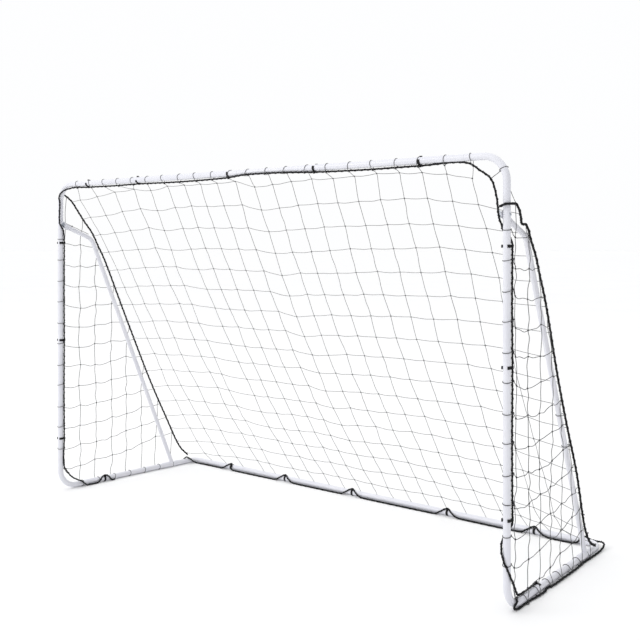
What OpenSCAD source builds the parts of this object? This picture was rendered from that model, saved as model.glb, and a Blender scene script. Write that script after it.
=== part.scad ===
// Portable soccer goal: a frame of white steel tubes that plug together, two bent braces,
// net clips, a black border rope and a knotted net.
// X runs along the crossbar, Y from the mouth to the back and Z up from the ground.
// The origin is on the ground, in the middle of the goal's box.

/* [Goal] */
// Width between the centres of the two posts
mouth_w = 2415; // [2395:1:2435]
// Height of the crossbar's centre above the ground
crossbar_z = 1479; // [1470:1:1490]
// Depth from the centres of the posts to the centre of the rear bar
depth = 832; // [820:1:845]
// How far each rear corner stands in from its post
rear_inset = 46.5; // [40:0.5:52]

/* [Tubes] */
// Outer diameter of the frame tubes
tube_d = 25; // [24.6:0.1:25.2]
// Wall of every tube
wall = 1.2; // [1:0.1:1.5]
// Length of the swaged end that plugs into the next tube
spigot_l = 55; // [45:1:60]
// Bend radius of the front corners, on the tube's centre line
front_bend_r = 85; // [75:1:95]
// Bend radius of the rear corners
rear_bend_r = 50; // [42:1:56]
// Height of the joint between each post and its top corner
top_seam_z = 1324; // [1318:1:1332]
// Height of the joint between each post and its bottom corner
foot_seam_z = 155; // [150:1:170]
// Distance of the joints in the crossbar from the posts' centres
crossbar_seam = 155; // [145:1:170]
// Distance of the joint between bottom corner and side rail from the post's centre
rail_seam = 106; // [104:1:120]

/* [Braces] */
// Outer diameter of the braces
brace_d = 20; // [19:0.1:20.2]
// Height of the bolt that holds the brace's flattened end
bolt_z = 1287; // [1283:1:1290]
// Distance behind the post at which the brace bends down
brace_bend_a = 168; // [160:1:176]
// Height at which it bends
brace_bend_z = 1218; // [1212:1:1224]
// Distance behind the post at which it stands on the side rail
brace_foot_a = 680; // [676:1:684]
// Bend radius of the brace
brace_bend_r = 60; // [40:1:70]

/* [Tee sleeves] */
// Outer diameter of the sleeve that joins rail, brace and rear corner
tee_d = 28.4; // [28.2:0.1:28.6]
// Where the sleeve starts behind the post
tee_a = 619; // [616:1:622]
// Length of the sleeve
tee_l = 112; // [108:1:116]

/* [Hidden] */
$fn = 48;

// Colours of the finishes
coat_white = [0.93, 0.93, 0.95];
zinc_grey = [0.66, 0.68, 0.72];
spring_grey = [0.45, 0.45, 0.47];
plastic_black = [0.07, 0.07, 0.08];
rope_black = [0.05, 0.05, 0.06];
twine_grey = [0.35, 0.36, 0.37];

// Radii of the plugged joints
tube_r = tube_d / 2;
bore_r = tube_r - wall;
spigot_r = bore_r - 0.2;
spigot_bore_r = spigot_r - wall;
tee_r = tee_d / 2;
tee_bore_r = tube_r + 0.2;
brace_r = brace_d / 2;
brace_bore_r = brace_r - wall;
stub_r = brace_bore_r - 0.2;
stub_l = 48;

// Half the gap that shows where two tubes meet
seam_gap = 0.3;
// Thick ring inside a swaged tube where it narrows
shoulder = 3;
// How far a tube's straight legs lap over its bend, and how much thicker they are
lap = 0.5;
lap_step = 0.03;

// The side frames: rails run in towards the back
half_w = mouth_w / 2;
rear_half_w = half_w - rear_inset;
splay = atan(rear_inset / depth);
rail_l = sqrt(depth * depth + rear_inset * rear_inset);
rail_z = tee_r;
rear_turn = 90 - splay;
rear_cut = rear_bend_r * tan(rear_turn / 2);
rear_leg = 9;
tee_mid_a = tee_a + tee_l / 2;

// Y of the mouth: the ropes and clips stand further out in front than behind
mouth_y = -depth / 2 + 1.1;

// The brace, in the upright plane that holds it
tongue_t = 3;
tongue_r = 13;
tongue_b = tube_r + 0.2 + tongue_t / 2;
tongue_a = tongue_b * tan(splay);
tongue_l = 34;
crimp_l = 24;
brace_yaw = atan(tongue_b / brace_foot_a);
brace_rise = bolt_z - brace_bend_z;
upper_slope = atan(brace_rise / brace_bend_a);
upper_l = sqrt(brace_rise * brace_rise + brace_bend_a * brace_bend_a);
brace_run = brace_foot_a / cos(brace_yaw) - brace_bend_a;
brace_drop = brace_bend_z - rail_z;
lower_slope = atan(brace_drop / brace_run);
lower_l = sqrt(brace_run * brace_run + brace_drop * brace_drop);
brace_turn = lower_slope - upper_slope;
brace_cut = brace_bend_r * tan(brace_turn / 2);

// Bolts, M6
bolt_r = 3;
bolt_hole_r = 3.3;

// Spring buttons: a stud on the free end of a leaf that is riveted inside the tube
stud_r = 3.5;
stud_hole_r = 4.3;
stud_out = 2.6;
leaf_l = 30;
leaf_w = 8;
leaf_t = 0.8;
leaf_gap = 0.3;
root_l = 15;
tee_button_a = tee_a + tee_l - 8;
bar_button_x = -38;

// Net clips
clip_r = tube_r + 0.15;
clip_t = 2;
clip_w = 10;
hook_r = 3.8;
hook_t = 1.6;
rope_off = clip_r + clip_t + 3.85;
bead_r = 2.4;
bead_off = clip_r + clip_t + 1;
short_arm = 95;
long_arm = 172;
low_short_arm = 125;
crossbar_clip_x = [-990, -627, -54, 402, 874];
crossbar_clip_turn = [90, 106, 66, 66, 80];
rear_clip_x = [-869, -486, -60, 467, 885];
rear_clip_turn = -68;
rear_long_arm = 155;
post_clip_z_left = [253, 729, 1199];
post_clip_z_right = [304, 794, 1185];
left_post_clip_turn = 50;
right_post_clip_turn = -52;
rail_clip_a = 248;
rail_clip_turn = 60;

// Rope and net
rope_r = 3;
net_t = 3;
net_off = tube_r + 5.4;

// Places on a side frame: side is -1 or 1, a runs back along the rail from the post,
// b in towards the goal and z up
function on_side(side, a, b, z) = [
    side * (half_w - a * sin(splay) - b * cos(splay)),
    mouth_y + a * cos(splay) - b * sin(splay),
    z
];
function side_run(side, points) = [for (p = points) on_side(side, p[0], p[1], p[2])];
function mouth_run(points) = [for (p = points) [p[0], mouth_y + p[1], p[2]]];
// The ground rope rises over each clip of the rear bar: steeply, or over a longer way
function clip_hump(x, way) = [
    [x + way, -19, 5], [x + way / 2, -17, 18], [x + 7, -6.8, 31], [x - 7, -6.8, 31],
    [x - 29, -16, 19], [x - 56, -19, 5]
];
function rear_run(points) = [for (p = points) [p[0], mouth_y + depth + p[1], p[2]]];

// Border rope round the mouth: from the left rail up the left post, along the crossbar,
// down the right post and onto the right rail
left_foot_route = [
    [300, 20, 4], [281, 18, 5], [268, 15, 23], [257, 9, 29.8], [239, 9, 29.8],
    [228, 13, 25], [214, 18, 12], [199, 19, 5], [150, 19, 4], [137, 18.5, 5],
    [124, 17.5, 14], [112, 16, 26], [84, 12, 40], [56, 11, 58], [28, 12, 90]
];
left_post_route = [
    [11, 13.5, 120], [11.6, 13.9, 253], [11, 13, 490], [11.6, 13.9, 729], [11, 13, 960],
    [11.6, 13.9, 1192], [11.6, 13.9, 1206], [2, 19, 1262], [-16, 19, 1290],
    [-15, 14, 1340], [-12, 12, 1385]
];
crossbar_route = [
    [-1193, -18, 1424], [-1165, -18, 1446], [-1105, -8, 1461], [-990, 0, 1461],
    [-800, 3, 1460], [-627, 5, 1461.7], [-350, 2, 1459], [-54, -7.3, 1462.6],
    [48, -15, 1469], [240, -15, 1468], [402, -7.3, 1462.6], [640, 0, 1460],
    [874, -3.1, 1461.2], [1062, -1, 1461], [1110, -1, 1434], [1152, -4, 1404],
    [1177, -12, 1345], [1186.5, -19, 1300], [1189, -17, 1276], [1193, -8.5, 1254], [1190, 4, 1240],
    [1198, 16, 1224], [1212, 17.5, 1208]
];
right_post_route = [
    [11, -14.2, 1192], [11, -14.2, 1178], [11, -13, 990], [11, -14.2, 794],
    [11, -13, 550], [11, -14.2, 311], [11, -14.2, 297], [17, -3, 275], [13, 12, 252],
    [-1, 17.5, 228], [-13, 12, 198], [-17, -1, 165], [-14.5, -8.5, 150],
    [-4, -17.3, 118], [8, -16, 105], [88, 4, 37], [96, 4, 33], [202, 3, 32.6], [231, 8, 30.8],
    [239, 9, 29.8], [257, 9, 29.8]
];
// Border rope on the ground: over the right bottom corner, along the right rail, round
// the rear corner, along the rear bar and back along the left rail
right_rail_route = [
    [84, 3, 31], [72, -1, 31.8], [60, -6.5, 34.5], [50, -12.5, 34.5], [41, -16.5, 32],
    [33, -16.8, 27], [30, -12.5, 19], [32, -10, 12], [42, -10, 6], [60, -13, 4],
    [140, -14, 4], [200, -20, 5],
    [262, -20, 4], [286, -14, 4], [330, -21, 5], [420, -23, 6], [560, -21, 4],
    [606, -18, 4], [770, -21, 5], [828, -19, 12], [850, -9, 18]
];
rear_bar_route = [
    [1124, 18, 19], [1104, 13, 27], [1096, 0, 32], [1088, -13, 27], [1080, -18, 14],
    [1060, -19, 5],
    for (k = [4:-1:1]) each clip_hump(rear_clip_x[k], 58),
    each clip_hump(rear_clip_x[0], 20),
    [-1060, -19, 4]
];
left_rail_route = [
    [808, 30, 8], [790, 14, 26], [782, -2, 33], [772, -16, 22], [754, -20, 6],
    [700, -21, 4], [330, -19, 4], [290, -18, 8]
];
// Ropes sewn into the corners of the net, from the posts' tops to the rear corners
left_seam_route = [
    [14, 13, 1430], [44, 4, 1414], [64, 2, 1397], [100, 2, 1348], [134, 2, 1302],
    [176, 2, 1250], [214, 2, 1180], [246, 2, 1122], [382, 0, 815], [534, -2, 480],
    [634, -3, 283], [734, -2, 97], [786, -1, 46]
];
right_seam_route = [
    [-26, 14, 1312], [-23, 4, 1317], [-19, -6, 1320], [-12, -15, 1321], [0, -18, 1321],
    [30, -17, 1322], [50, -17, 1310], [66, -17, 1288], [74, -16, 1266], [84, -14, 1258],
    [118, -12, 1256], [140, -12, 1238], [160, -10, 1210], [206, -9, 1150],
    [240, -8, 1086], [286, -8, 998], [398, -9, 712], [476, -10, 536], [562, -12, 352],
    [646, -14, 118], [700, -14, 56], [746, -14.5, 34]
];

// Sweeping a rope: rings of equal sides along the route, turned by the bend between them
rope_sides = 8;
function unit(v) = v / norm(v);
function heading(points, i) =
    let (last = len(points) - 1)
    i == 0 ? unit(points[1] - points[0])
    : i == last ? unit(points[last] - points[last - 1])
    : unit(unit(points[i] - points[i - 1]) + unit(points[i + 1] - points[i]));
function across(dir) =
    let (other = abs(dir[2]) < 0.8 ? [0, 0, 1] : [0, 1, 0])
    unit(cross(dir, other));
function carried(side_dir, dir) = unit(side_dir - (side_dir * dir) * dir);
function ring_dirs(points, i, prev) =
    i == len(points) ? []
    : let (here = carried(prev, heading(points, i)))
      concat([here], ring_dirs(points, i + 1, here));
function ring(centre, dir, side_dir, r) =
    let (other = cross(dir, side_dir))
    [for (k = [0:rope_sides - 1])
        let (t = 360 * k / rope_sides)
        centre + r * (cos(t) * side_dir + sin(t) * other)];

module rope(points, r) {
    dirs = ring_dirs(points, 0, across(heading(points, 0)));
    n = len(points);
    verts = [for (i = [0:n - 1]) each ring(points[i], heading(points, i), dirs[i], r)];
    m = rope_sides;
    walls = [for (i = [0:n - 2]) for (k = [0:m - 1])
        [i * m + k, (i + 1) * m + k, (i + 1) * m + (k + 1) % m, i * m + (k + 1) % m]];
    ends = [[for (k = [0:m - 1]) k], [for (k = [m - 1:-1:0]) (n - 1) * m + k]];
    color(rope_black)
        polyhedron(points = verts, faces = concat(walls, ends), convexity = 10);
}

// Places a child in the right side frame, or its mirror image in the left one
module in_side(side) {
    mirror([side < 0 ? 1 : 0, 0, 0])
        translate([half_w, mouth_y, 0])
            rotate([0, 0, 90 + splay])
                children();
}

// Rod along +X
module rod(l, r) {
    rotate([0, 90, 0])
        cylinder(h = l, r = r);
}

// Solid run: a straight leg that ends at the origin, a bend to the left, a second leg.
// The legs lap over the bend's ends by a little and are a hair thicker there.
module run(r, leg_in, bend_r, turn, leg_out) {
    translate([-leg_in, 0, 0])
        rod(leg_in + lap, r + lap_step);
    translate([0, bend_r, 0])
        rotate([0, 0, -90])
            rotate_extrude(angle = turn)
                translate([bend_r, 0])
                    circle(r = r);
    translate([0, bend_r, 0])
        rotate([0, 0, turn])
            translate([-lap, -bend_r, 0])
                rod(leg_out + lap, r + lap_step);
}

// Places a child at the far end of a bend that starts at the origin
module after_bend(bend_r, turn) {
    translate([0, bend_r, 0])
        rotate([0, 0, turn])
            translate([0, -bend_r, 0])
                children();
}

// Swaged end, pointing along +X from the joint: outside, then what is bored out of it
module spigot_outside() {
    translate([-shoulder, 0, 0])
        rod(spigot_l + shoulder, spigot_r);
}
module spigot_inside() {
    translate([-shoulder - 1, 0, 0])
        rod(spigot_l + shoulder + 2, spigot_bore_r);
}

// Bent tube with a plain or a swaged end each way
module bent_tube(leg_in, bend_r, turn, leg_out, swaged_in, swaged_out) {
    short_in = swaged_in ? leg_in - shoulder : leg_in + 1;
    short_out = swaged_out ? leg_out - shoulder : leg_out + 1;
    difference() {
        union() {
            run(tube_r, leg_in, bend_r, turn, leg_out);
            if (swaged_in)
                translate([-leg_in, 0, 0]) mirror([1, 0, 0]) spigot_outside();
            if (swaged_out)
                after_bend(bend_r, turn) translate([leg_out, 0, 0]) spigot_outside();
        }
        run(bore_r, short_in, bend_r, turn, short_out);
        if (swaged_in)
            translate([-leg_in, 0, 0]) mirror([1, 0, 0]) spigot_inside();
        if (swaged_out)
            after_bend(bend_r, turn) translate([leg_out, 0, 0]) spigot_inside();
    }
}

// Straight plain tube along +X
module tube(l) {
    difference() {
        rod(l, tube_r);
        translate([-1, 0, 0])
            rod(l + 2, bore_r);
    }
}

// Straight tube along +X whose start is swaged
module swaged_tube(l) {
    difference() {
        union() {
            rod(l, tube_r);
            mirror([1, 0, 0]) spigot_outside();
        }
        translate([shoulder, 0, 0])
            rod(l, bore_r);
        mirror([1, 0, 0]) spigot_inside();
    }
}

// Half of the crossbar; the right half's swaged end plugs into the left one
module crossbar_half(side) {
    reach = half_w - crossbar_seam - seam_gap;
    color(coat_white)
        translate([0, mouth_y, crossbar_z])
            difference() {
                if (side > 0)
                    translate([seam_gap, 0, 0]) swaged_tube(reach - seam_gap);
                else
                    translate([-reach, 0, 0]) tube(reach - seam_gap);
                stud_hole_at(bar_button_x) stud_hole();
            }
}

// Rear bar half, made as the crossbar is
module rear_bar_half(side) {
    reach = rear_half_w - rear_cut - rear_leg - seam_gap;
    color(coat_white)
        translate([0, mouth_y + depth, rail_z])
            difference() {
                if (side > 0)
                    translate([seam_gap, 0, 0]) swaged_tube(reach - seam_gap);
                else
                    translate([-reach, 0, 0]) tube(reach - seam_gap);
                stud_hole_at(bar_button_x) stud_hole();
            }
}

// Top corner: bends down from the crossbar, swaged at both ends
module top_corner(side) {
    leg_in = crossbar_seam - front_bend_r - seam_gap;
    leg_out = crossbar_z - front_bend_r - top_seam_z - seam_gap;
    color(coat_white)
        mirror([side < 0 ? 1 : 0, 0, 0])
            difference() {
                translate([half_w - front_bend_r, mouth_y, crossbar_z])
                    rotate([-90, 0, 0])
                        bent_tube(leg_in, front_bend_r, 90, leg_out, true, true);
                translate([half_w, mouth_y, 0]) bolt_hole();
            }
}

// Hole for the corner bolt, across the post
module bolt_hole() {
    translate([-tube_d, 0, bolt_z])
        rod(2 * tube_d, bolt_hole_r);
}

module post(side) {
    low = foot_seam_z + seam_gap;
    color(coat_white)
        translate([side * half_w, mouth_y, 0])
            difference() {
                translate([0, 0, low])
                    rotate([0, -90, 0])
                        tube(top_seam_z - seam_gap - low);
                bolt_hole();
            }
}

// Bottom corner: bends back from the post to the side rail, swaged at both ends
module bottom_corner(side) {
    leg_in = foot_seam_z - rail_z - front_bend_r - seam_gap;
    leg_out = rail_seam - front_bend_r - seam_gap;
    color(coat_white)
        in_side(side)
            translate([0, 0, rail_z + front_bend_r])
                rotate([90, 0, 0])
                    rotate([0, 0, -90])
                        bent_tube(leg_in, front_bend_r, 90, leg_out, true, true);
}

// Side rail: its back end stands in the tee sleeve
module side_rail(side) {
    color(coat_white)
        in_side(side)
            translate([rail_seam + seam_gap, 0, rail_z])
                tube(tee_mid_a - 1 - rail_seam - seam_gap);
}

// Puts a child on the brace's lower arm: +X runs down it, and the origin is at the foot
module at_brace_foot() {
    translate([tongue_a, tongue_b, 0])
        rotate([0, 0, -brace_yaw])
            translate([brace_foot_a / cos(brace_yaw), 0, rail_z])
                rotate([0, lower_slope, 0])
                    children();
}

// Tee: a sleeve over the ends of rail and rear corner, with a stub for the brace
module brace_tee(side) {
    color(coat_white)
        in_side(side)
            difference() {
                union() {
                    translate([tee_a, 0, rail_z]) rod(tee_l, tee_r);
                    at_brace_foot() translate([-stub_l, 0, 0]) rod(stub_l, stub_r);
                }
                translate([tee_a - 1, 0, rail_z]) rod(tee_l + 2, tee_bore_r);
                at_brace_foot()
                    translate([-stub_l - 1, 0, 0])
                        rod(stub_l - tee_r - 4, stub_r - wall);
                tee_stud_hole();
            }
}

// Brace: flattened and drilled at the top, bent, and cut to sit on the tee
module brace(side) {
    arm_in = upper_l - brace_cut - tongue_l - crimp_l;
    arm_out = lower_l - brace_cut;
    color(coat_white)
        in_side(side)
            difference() {
                translate([tongue_a, tongue_b, bolt_z])
                    rotate([0, 0, -brace_yaw])
                        rotate([0, upper_slope, 0]) {
                            brace_tongue();
                            translate([upper_l - brace_cut, 0, 0])
                                rotate([-90, 0, 0])
                                    difference() {
                                        run(brace_r, arm_in, brace_bend_r, brace_turn, arm_out);
                                        run(brace_bore_r, arm_in - wall, brace_bend_r,
                                            brace_turn, arm_out + 1);
                                    }
                        }
                translate([tee_a - 50, 0, rail_z]) rod(tee_l + 100, tee_r + 0.3);
                translate([0, 0, bolt_z])
                    rotate([0, 0, -splay])
                        rotate([-90, 0, 0]) cylinder(h = 2 * tube_d, r = bolt_hole_r);
            }
}

// Flattened end of the brace along +X, and the crimp where it becomes round
module brace_tongue() {
    rotate([90, 0, 0])
        linear_extrude(height = tongue_t, center = true)
            union() {
                circle(r = tongue_r);
                translate([0, -tongue_r]) square([tongue_l, 2 * tongue_r]);
            }
    hull() {
        translate([tongue_l - 1, -tongue_t / 2, -tongue_r])
            cube([1, tongue_t, 2 * tongue_r]);
        translate([tongue_l + crimp_l, 0, 0])
            rotate([0, 90, 0]) cylinder(h = 0.4, r = brace_r - 0.1, $fn = 32);
    }
}

// Rear corner: its leg stands in the tee, and its swaged end in the rear bar
module rear_corner(side) {
    start_a = tee_mid_a + 1;
    color(coat_white)
        in_side(side)
            difference() {
                translate([rail_l - rear_cut, 0, rail_z])
                    bent_tube(rail_l - rear_cut - start_a, rear_bend_r, rear_turn,
                        rear_leg - seam_gap, false, true);
                tee_stud_hole();
            }
}

// Corner bolt: a low round head outside, the shank through post, brace and wing nut
module corner_bolt(side) {
    head_t = 3.4;
    head_r = 5.5;
    shank_l = tube_d + tongue_t + 19;
    color(zinc_grey)
        mirror([side < 0 ? 1 : 0, 0, 0])
            translate([half_w + tube_r, mouth_y, bolt_z])
                rotate([0, -90, 0]) {
                    cylinder(h = shank_l, r = bolt_r);
                    mirror([0, 0, 1])
                        intersection() {
                            cylinder(h = head_t, r = head_r);
                            translate([0, 0, -4.4]) sphere(r = head_t + 4.4);
                        }
                }
}

// Washer between the brace's flattened end and the wing nut
module bolt_washer(side) {
    color(zinc_grey)
        mirror([side < 0 ? 1 : 0, 0, 0])
            translate([half_w - tongue_b - tongue_t / 2 - 1.7, mouth_y, bolt_z])
                rotate([0, 90, 0])
                    difference() {
                        cylinder(h = 1.2, r = 6.5);
                        translate([0, 0, -1]) cylinder(h = 4, r = bolt_hole_r);
                    }
}

// Wing nut: a tapered hub and two upright wings
module wing_nut(side) {
    hub_h = 8;
    wing_out = 14;
    wing_up = 15;
    wing_t = 2.4;
    color(zinc_grey)
        mirror([side < 0 ? 1 : 0, 0, 0])
            translate([half_w - tongue_b - tongue_t / 2 - 1.9, mouth_y, bolt_z])
                rotate([0, -90, 0])
                    difference() {
                        union() {
                            cylinder(h = hub_h, r1 = 6, r2 = 5);
                            for (turn = [0, 180])
                                rotate([0, 0, turn])
                                    rotate([90, 0, 0])
                                        linear_extrude(height = wing_t, center = true)
                                            wing_outline(wing_out, wing_up);
                        }
                        translate([0, 0, -1]) cylinder(h = hub_h + 2, r = bolt_r + 0.1);
                    }
}

// Side view of one wing: it leans out from the hub and ends in a round lobe
module wing_outline(out, up) {
    lobe_r = 4.2;
    polygon([[4.2, 1], [5.6, 1], [out, up - lobe_r - 2], [out - 2 * lobe_r + 1, up - 2]]);
    translate([out - lobe_r + 0.4, up - lobe_r]) circle(r = lobe_r);
}

// Turns a child at x on a bar so that +Z points out of the bar's back
module stud_hole_at(x) {
    translate([x, 0, 0])
        rotate([-90, 0, 0])
            children();
}
module stud_hole() {
    cylinder(h = 2 * tube_d, r = stud_hole_r);
}

// Turns a child so that +X points forwards along the tee and +Z out of its outer side
module at_tee_button() {
    translate([tee_button_a, 0, rail_z])
        rotate([90, 0, 0])
            children();
}
module tee_stud_hole() {
    at_tee_button() stud_hole();
}

// Stud and the free part of its leaf: the leaf runs along -X, and +Z is out of the tube
module spring_button(surface_r, leaf_top) {
    stud_top = surface_r + stud_out;
    color(zinc_grey)
        union() {
            intersection() {
                translate([0, 0, leaf_top - 0.2])
                    cylinder(h = stud_top - leaf_top + 0.2, r = stud_r);
                translate([0, 0, stud_top - 5.6]) sphere(r = 5.6);
                }
            translate([0, 0, leaf_top - 0.2])
                cylinder(h = stud_top - leaf_top - 2.2, r = stud_r);
            translate([-leaf_l + leaf_gap, -leaf_w / 2, leaf_top - leaf_t])
                cube([leaf_l - leaf_gap, leaf_w, leaf_t]);
            translate([0, 0, leaf_top - leaf_t])
                cylinder(h = leaf_t, r = leaf_w / 2);
        }
}

// Fixed end of the leaf, with the rivet that holds it to the tube's wall
module spring_root(inside_r, leaf_top) {
    color(spring_grey)
        union() {
            translate([-leaf_l - root_l, -leaf_w / 2, leaf_top - leaf_t])
                cube([root_l - leaf_gap, leaf_w, leaf_t]);
            translate([-leaf_l - root_l / 2, 0, leaf_top - 0.1])
                cylinder(h = inside_r - leaf_top - 0.1, r = 1.6);
        }
}

// Height of a leaf's outer face in a tube of this inside radius
function leaf_height(inside_r) = sqrt(inside_r * inside_r - leaf_w * leaf_w / 4) - 0.15;

module tee_button(side) {
    in_side(side)
        at_tee_button()
            spring_button(tee_r, leaf_height(bore_r));
}
module tee_spring_root(side) {
    in_side(side)
        at_tee_button()
            spring_root(bore_r, leaf_height(bore_r));
}
module bar_button(y, z) {
    translate([0, y, z])
        stud_hole_at(bar_button_x)
            mirror([1, 0, 0])
                spring_button(tube_r, leaf_height(spigot_bore_r));
}
module bar_spring_root(y, z) {
    translate([0, y, z])
        stud_hole_at(bar_button_x)
            mirror([1, 0, 0])
                spring_root(spigot_bore_r, leaf_height(spigot_bore_r));
}

// Outline of a flat ring with an opening from one angle to another
module open_ring(inner, t, from, to) {
    reach = 2 * (inner + t);
    difference() {
        circle(r = inner + t);
        circle(r = inner);
        polygon([[0, 0], for (k = [0:2]) let (turn = from + (to - from) * k / 2)
            [reach * cos(turn), reach * sin(turn)]]);
    }
}

// Net clip on a tube along Z: a hook at +X for the rope, a short arm one way round the
// tube and a long arm the other way, which ends in a bead
module clip(long = long_arm, short = short_arm) {
    color(plastic_black)
        linear_extrude(height = clip_w, center = true)
            union() {
                open_ring(clip_r, clip_t, long, 360 - short);
                translate([rope_off, 0]) open_ring(hook_r, hook_t, 270, 390);
                rotate([0, 0, long]) translate([bead_off, 0]) circle(r = bead_r);
            }
}
module turned_over(over) {
    mirror([0, over ? 1 : 0, 0])
        children();
}

// Clip on a bar along X, with its hook turned up from straight forwards
module bar_clip(x, y, z, hook_turn) {
    translate([x, y, z])
        rotate([hook_turn, 0, 0])
            rotate([0, 0, -90])
                rotate([90, 0, 0])
                    children();
}

module crossbar_clips() {
    for (i = [0:len(crossbar_clip_x) - 1])
        bar_clip(crossbar_clip_x[i], mouth_y, crossbar_z, crossbar_clip_turn[i])
            turned_over(true) clip();
}
module rear_bar_clips() {
    for (x = rear_clip_x)
        bar_clip(x, mouth_y + depth, rail_z, rear_clip_turn)
            clip(rear_long_arm, low_short_arm);
}
module post_clips(side, heights, hook_turn) {
    in_side(side)
        for (z = heights)
            translate([0, 0, z])
                rotate([0, 0, hook_turn])
                    turned_over(side < 0) clip();
}
module rail_clip(side, long, short) {
    in_side(side)
        translate([rail_clip_a, 0, rail_z])
            rotate([rail_clip_turn, 0, 0])
                rotate([0, 0, 90])
                    rotate([90, 0, 0])
                        turned_over(side > 0) clip(long, short);
}
module rail_clips() {
    rail_clip(-1, 150, low_short_arm);
    rail_clip(1, 100, 70);
}

// Ropes along their routes
module mouth_rope() {
    rope(concat(
        side_run(-1, left_foot_route), side_run(-1, left_post_route),
        mouth_run(crossbar_route), side_run(1, right_post_route)
    ), rope_r);
}
module ground_rope() {
    rope(concat(
        side_run(1, right_rail_route), rear_run(rear_bar_route),
        side_run(-1, left_rail_route)
    ), rope_r);
}

// The sloping back of the net: a thin panel behind the line from crossbar to rear bar
module net_back() {
    slope = atan((crossbar_z - rail_z) / depth);
    length = sqrt((crossbar_z - rail_z) * (crossbar_z - rail_z) + depth * depth);
    top_half = half_w - 38;
    foot_half = rear_half_w - 22;
    color(twine_grey)
        translate([0, mouth_y, crossbar_z])
            rotate([-slope, 0, 0])
                translate([0, 0, net_off])
                    linear_extrude(height = net_t)
                        polygon([[-top_half, 0], [top_half, 0],
                            [foot_half, length - 40], [-foot_half, length - 40]]);
}

// One side of the net: a thin panel outside the post, the brace and the rail
module net_side(side) {
    color(twine_grey)
        in_side(side)
            translate([0, -net_off, 0])
                rotate([90, 0, 0])
                    linear_extrude(height = net_t)
                        polygon([[24, 150], [24, 1270], [120, 1245], [180, 1190],
                            [rail_l - 60, 60], [110, 60]]);
}

crossbar_half(-1);  // crossbar_left
crossbar_half(1);  // crossbar_right
top_corner(-1);  // top_corner_left
top_corner(1);  // top_corner_right
post(-1);  // post_left
post(1);  // post_right
bottom_corner(-1);  // bottom_corner_left
bottom_corner(1);  // bottom_corner_right
side_rail(-1);  // side_rail_left
side_rail(1);  // side_rail_right
brace_tee(-1);  // brace_tee_left
brace_tee(1);  // brace_tee_right
brace(-1);  // brace_left
brace(1);  // brace_right
rear_corner(-1);  // rear_corner_left
rear_corner(1);  // rear_corner_right
rear_bar_half(-1);  // rear_bar_left
rear_bar_half(1);  // rear_bar_right
corner_bolt(-1);  // corner_bolt_left
corner_bolt(1);  // corner_bolt_right
union() {  // bolt_washers
    bolt_washer(-1);
    bolt_washer(1);
}
wing_nut(-1);  // wing_nut_left
wing_nut(1);  // wing_nut_right
tee_button(-1);  // tee_button_left
tee_button(1);  // tee_button_right
bar_button(mouth_y, crossbar_z);  // crossbar_button
bar_button(mouth_y + depth, rail_z);  // rear_bar_button
union() {  // button_spring_roots
    tee_spring_root(-1);
    tee_spring_root(1);
    bar_spring_root(mouth_y, crossbar_z);
    bar_spring_root(mouth_y + depth, rail_z);
}
crossbar_clips();
post_clips(-1, post_clip_z_left, left_post_clip_turn);  // post_clips_left
post_clips(1, post_clip_z_right, right_post_clip_turn);  // post_clips_right
rear_bar_clips();
rail_clips();
mouth_rope();
ground_rope();
rope(side_run(-1, left_seam_route), rope_r);  // seam_rope_left
rope(side_run(1, right_seam_route), rope_r);  // seam_rope_right
net_back();
net_side(-1);  // net_left
net_side(1);  // net_right
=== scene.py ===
# A portable soccer goal: a frame of white steel tubes, black net clips, a twisted border rope and a
# knotted twine net. Everything is in metres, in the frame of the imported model: X along the crossbar,
# Y from the mouth to the back and Z up from the ground.
import math
import random

import bpy
import numpy as np
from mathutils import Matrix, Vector


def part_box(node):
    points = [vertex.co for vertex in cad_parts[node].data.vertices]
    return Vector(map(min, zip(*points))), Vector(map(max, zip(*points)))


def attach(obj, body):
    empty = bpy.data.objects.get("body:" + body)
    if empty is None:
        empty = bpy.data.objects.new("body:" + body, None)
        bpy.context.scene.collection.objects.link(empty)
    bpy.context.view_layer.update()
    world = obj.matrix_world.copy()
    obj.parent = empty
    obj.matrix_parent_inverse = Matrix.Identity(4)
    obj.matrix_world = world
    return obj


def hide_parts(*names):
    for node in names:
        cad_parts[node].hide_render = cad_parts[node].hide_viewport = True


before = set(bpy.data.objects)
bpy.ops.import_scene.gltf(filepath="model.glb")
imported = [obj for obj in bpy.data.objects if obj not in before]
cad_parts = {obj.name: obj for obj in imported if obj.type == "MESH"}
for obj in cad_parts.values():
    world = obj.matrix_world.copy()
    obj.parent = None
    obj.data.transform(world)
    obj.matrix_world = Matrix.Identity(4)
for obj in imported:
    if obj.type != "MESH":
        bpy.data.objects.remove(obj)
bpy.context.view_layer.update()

rng = random.Random(7)


# ---------------------------------------------------------------- places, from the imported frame


def middle(node):
    """Middle of a CAD node's box."""
    low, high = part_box(node)
    return (low + high) / 2


def half_size(node, axis):
    """Half the extent of a CAD node's box along one axis."""
    low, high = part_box(node)
    return (high[axis] - low[axis]) / 2


POST = middle("post_right")
REAR_BAR = middle("rear_bar_right")
TEE = middle("brace_tee_right")
HALF_W = POST.x
MOUTH_Y = POST.y
BAR_Z = middle("crossbar_right").z
RAIL_Z = REAR_BAR.z
TUBE_R = half_size("post_right", 0)
DEPTH = REAR_BAR.y - MOUTH_Y
SPLAY = math.atan((HALF_W - TEE.x) / (TEE.y - MOUTH_Y))

# The brace: its bend and its foot behind the post, and how far its flattened end stands inside
BRACE_BEND_A = 0.168
BRACE_BEND_Z = 1.218
BRACE_FOOT_A = 0.680
BRACE_INSIDE = 0.0142
BRACE_R = 0.010

TWINE_R = 0.00118


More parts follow.
